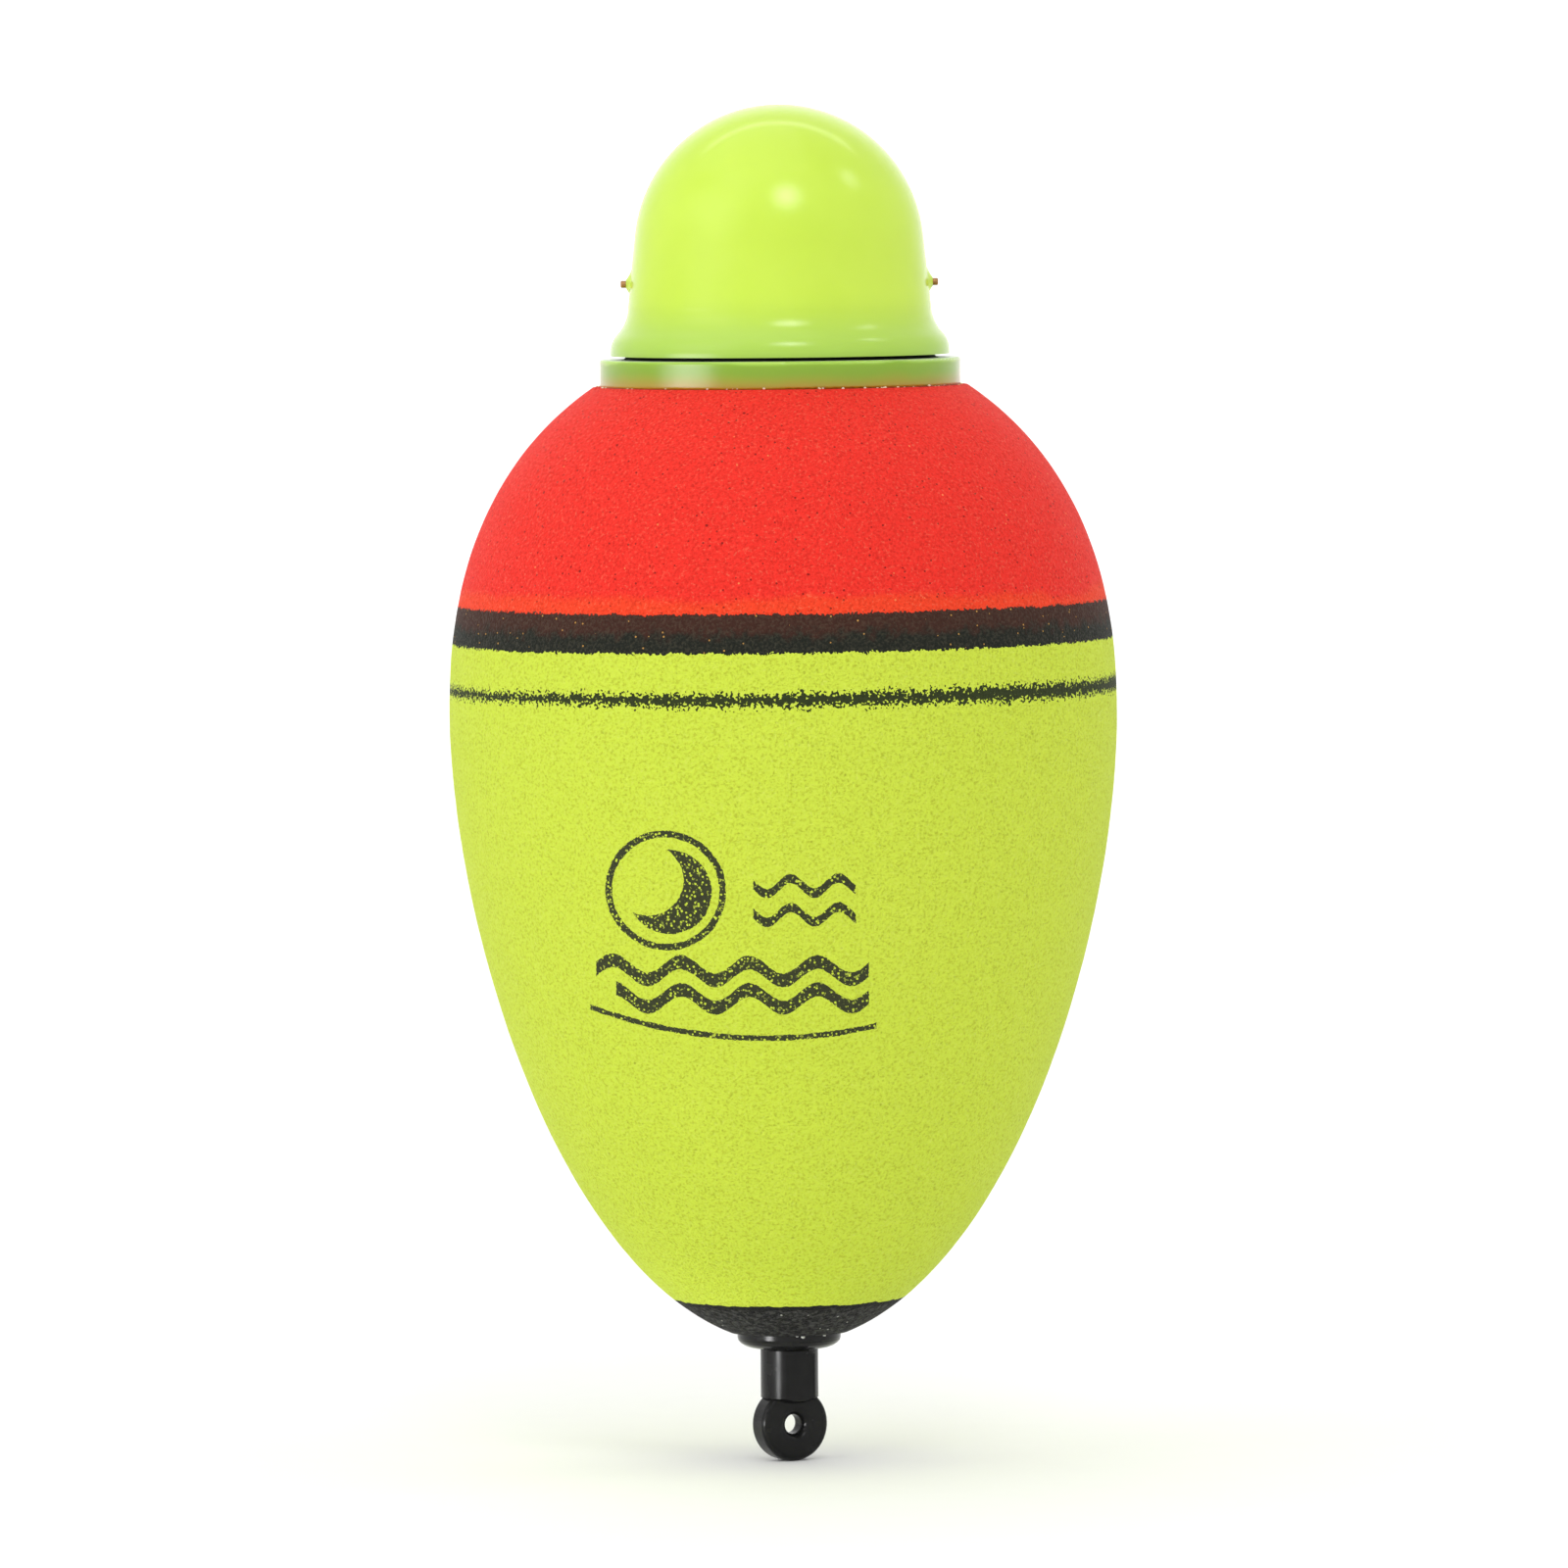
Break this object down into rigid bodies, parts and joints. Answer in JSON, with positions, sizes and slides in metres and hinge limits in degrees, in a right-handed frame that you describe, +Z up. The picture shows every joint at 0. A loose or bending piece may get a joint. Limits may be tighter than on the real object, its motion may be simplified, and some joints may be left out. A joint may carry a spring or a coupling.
{
  "type": "lighted bobber float",
  "caption": "Egg-shaped foam fishing float with a swivelling line eye below and a screw-on lamp head with water contacts on top.",
  "frame": {"origin": "centre of the line eye's hole, on the float's long axis", "axes": "+Z up along the float's axis, from the line eye to the lamp dome; the two water contacts point along -X and +X; -Y is the printed front"},
  "size_m": [0.056, 0.056, 0.114],
  "materials": {
    "foam": "matte, fine closed-cell grain, painted red, black and lime",
    "foam_core": "matte, closed-cell foam",
    "socket_plastic": "glossy, slightly translucent",
    "tube_plastic": "satin",
    "ballast_metal": "dull cast",
    "bush_plastic": "glossy",
    "stem_plastic": "satin gloss",
    "hardware_steel": "satin",
    "seal_rubber": "matte",
    "dome_plastic": "glossy, slightly translucent",
    "contact_brass": "dull, slightly tarnished",
    "spring_brass": "satin",
    "board_laminate": "satin solder mask",
    "led_red": "clear tinted resin",
    "led_green": "clear tinted resin",
    "led_blue": "clear tinted resin",
    "lead_metal": "tinned",
    "epoxy": "semi-gloss",
    "chip_body": "matte with tinned ends",
    "transistor_plastic": "matte",
    "carrier_plastic": "satin",
    "contact_steel": "plated",
    "cell_steel": "brushed",
    "gasket_plastic": "matte",
    "cap_steel": "satin, fine-pressed"
  },
  "bodies": {
    "line_swivel": {"line_stem": "stem_plastic", "thrust_washer": "hardware_steel", "retaining_screw": "hardware_steel"},
    "float": {"foam_body": "foam", "foam_plug": "foam_core", "lamp_socket": "socket_plastic", "core_tube": "tube_plastic", "ballast_ring": "ballast_metal", "stem_bush": "bush_plastic"},
    "seal": {"seal_ring": "seal_rubber"},
    "lamp_head": {"lamp_dome": "dome_plastic", "contact_pin_left": "contact_brass", "contact_pin_right": "contact_brass", "contact_spring_left": "spring_brass", "contact_spring_right": "spring_brass", "circuit_board": "board_laminate", "led_1": "led_red", "led_2": "led_green", "led_3": "led_blue", "led_leads": "lead_metal", "driver_blob": "epoxy", "chip_resistors": "chip_body", "sensor_transistor": "transistor_plastic", "cell_carrier": "carrier_plastic", "positive_contact": "contact_steel", "negative_contact": "spring_brass", "carrier_screws": "hardware_steel"},
    "coin_cell": {"cell_can": "cell_steel", "cell_gasket": "gasket_plastic", "cell_cap": "cap_steel"}
  },
  "joints": [
    {"name": "stem_swivel", "type": "hinge", "parent": "line_swivel", "child": "float", "pos_m": [0, 0, 0.0114], "axis": [0, 0, 1], "continuous": true},
    {"name": "head_rise", "type": "slide", "parent": "float", "child": "seal", "axis": [0, 0, 1], "range_m": [0, 0.00501]},
    {"name": "head_unscrew", "type": "hinge", "parent": "seal", "child": "lamp_head", "pos_m": [0, 0, 0.0899], "axis": [0, 0, 1], "range_deg": [0, 900]},
    {"name": "cell_pull", "type": "slide", "parent": "lamp_head", "child": "coin_cell", "axis": [0, 0, -1], "range_m": [0, 0.004]}
  ],
  "couplings": [
    {"joint": "head_rise", "follows": "head_unscrew", "m_per_rad": 0.00031831}
  ]
}
